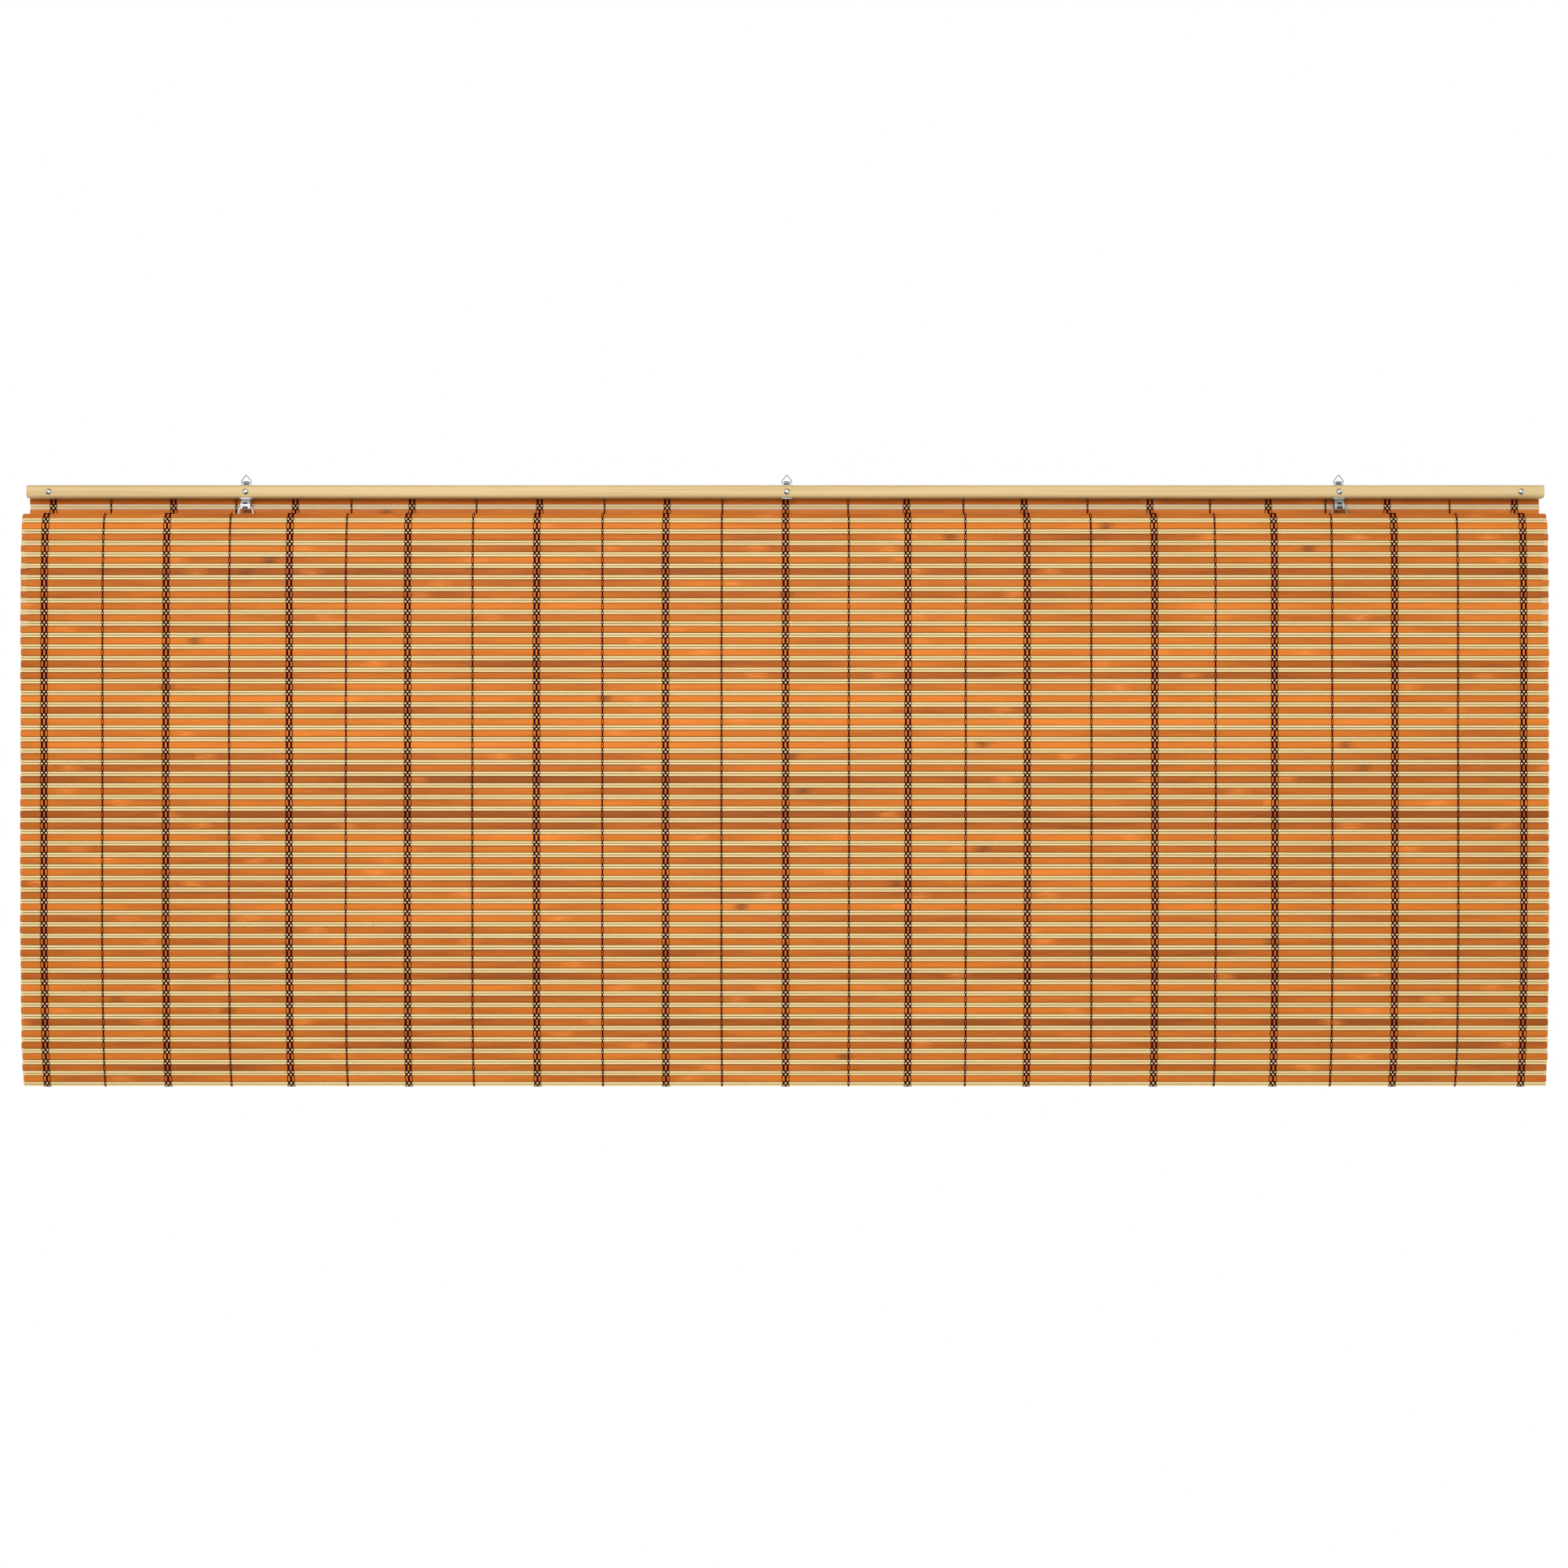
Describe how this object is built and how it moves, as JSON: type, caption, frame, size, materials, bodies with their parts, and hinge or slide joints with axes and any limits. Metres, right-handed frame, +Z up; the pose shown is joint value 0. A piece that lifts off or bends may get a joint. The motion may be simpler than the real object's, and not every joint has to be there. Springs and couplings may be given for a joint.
{
  "type": "bamboo roll up blind",
  "caption": "Woven bamboo blind drawn up into a long flattened roll, with a wooden head rail hung from three wire hangers, and two cord pulleys in steel housings under the rail.",
  "frame": {"origin": "where a hook bears in the wire hanger at the middle of the head rail", "axes": "+X along the rail to the right as seen from the front, +Y to the back, towards the window or wall, +Z up"},
  "size_m": [1.5006, 0.0459, 0.6054],
  "materials": {
    "rail_wood": "satin",
    "woven_bamboo": "satin",
    "warp_thread": "matt",
    "zinc_plated_steel": "satin",
    "bright_steel": "polished"
  },
  "bodies": {
    "blind": {"head_rail": "rail_wood", "rear_batten": "rail_wood", "hanging_mat": "woven_bamboo", "rolled_mat": "woven_bamboo", "bottom_batten": "rail_wood", "braided_warps": "warp_thread", "single_warps": "warp_thread", "rail_screws": "bright_steel", "hanger_plate_left": "zinc_plated_steel", "hanger_plate_centre": "zinc_plated_steel", "hanger_plate_right": "zinc_plated_steel", "foot_plate_centre": "zinc_plated_steel", "pulley_housing_left": "zinc_plated_steel", "pulley_pin_left": "zinc_plated_steel", "pulley_housing_right": "zinc_plated_steel", "pulley_pin_right": "zinc_plated_steel"},
    "hanger_left": {"wire_hanger_left": "zinc_plated_steel"},
    "hanger_centre": {"wire_hanger_centre": "zinc_plated_steel"},
    "hanger_right": {"wire_hanger_right": "zinc_plated_steel"},
    "roller_left": {"pulley_left": "zinc_plated_steel"},
    "roller_right": {"pulley_right": "zinc_plated_steel"},
    "bail_left": {"cord_bail_left": "bright_steel"},
    "bail_right": {"cord_bail_right": "bright_steel"}
  },
  "joints": [
    {"name": "hanger_left_swing", "type": "hinge", "parent": "blind", "child": "hanger_left", "pos_m": [-0.535, 0, -0.007], "axis": [1, 0, 0], "range_deg": [-95, 95]},
    {"name": "hanger_centre_swing", "type": "hinge", "parent": "blind", "child": "hanger_centre", "pos_m": [0, 0, -0.007], "axis": [1, 0, 0], "range_deg": [-95, 95]},
    {"name": "hanger_right_swing", "type": "hinge", "parent": "blind", "child": "hanger_right", "pos_m": [0.546, 0, -0.007], "axis": [1, 0, 0], "range_deg": [-95, 95]},
    {"name": "pulley_left_spin", "type": "hinge", "parent": "blind", "child": "roller_left", "pos_m": [-0.535, -0.0026, -0.0296], "axis": [1, 0, 0], "continuous": true},
    {"name": "pulley_right_spin", "type": "hinge", "parent": "blind", "child": "roller_right", "pos_m": [0.546, -0.0026, -0.0296], "axis": [1, 0, 0], "continuous": true},
    {"name": "bail_left_swing", "type": "hinge", "parent": "blind", "child": "bail_left", "pos_m": [-0.535, -0.0034, -0.0318], "axis": [1, 0, 0], "range_deg": [-8, 120]},
    {"name": "bail_right_swing", "type": "hinge", "parent": "blind", "child": "bail_right", "pos_m": [0.546, -0.0034, -0.0318], "axis": [1, 0, 0], "range_deg": [-8, 120]}
  ]
}
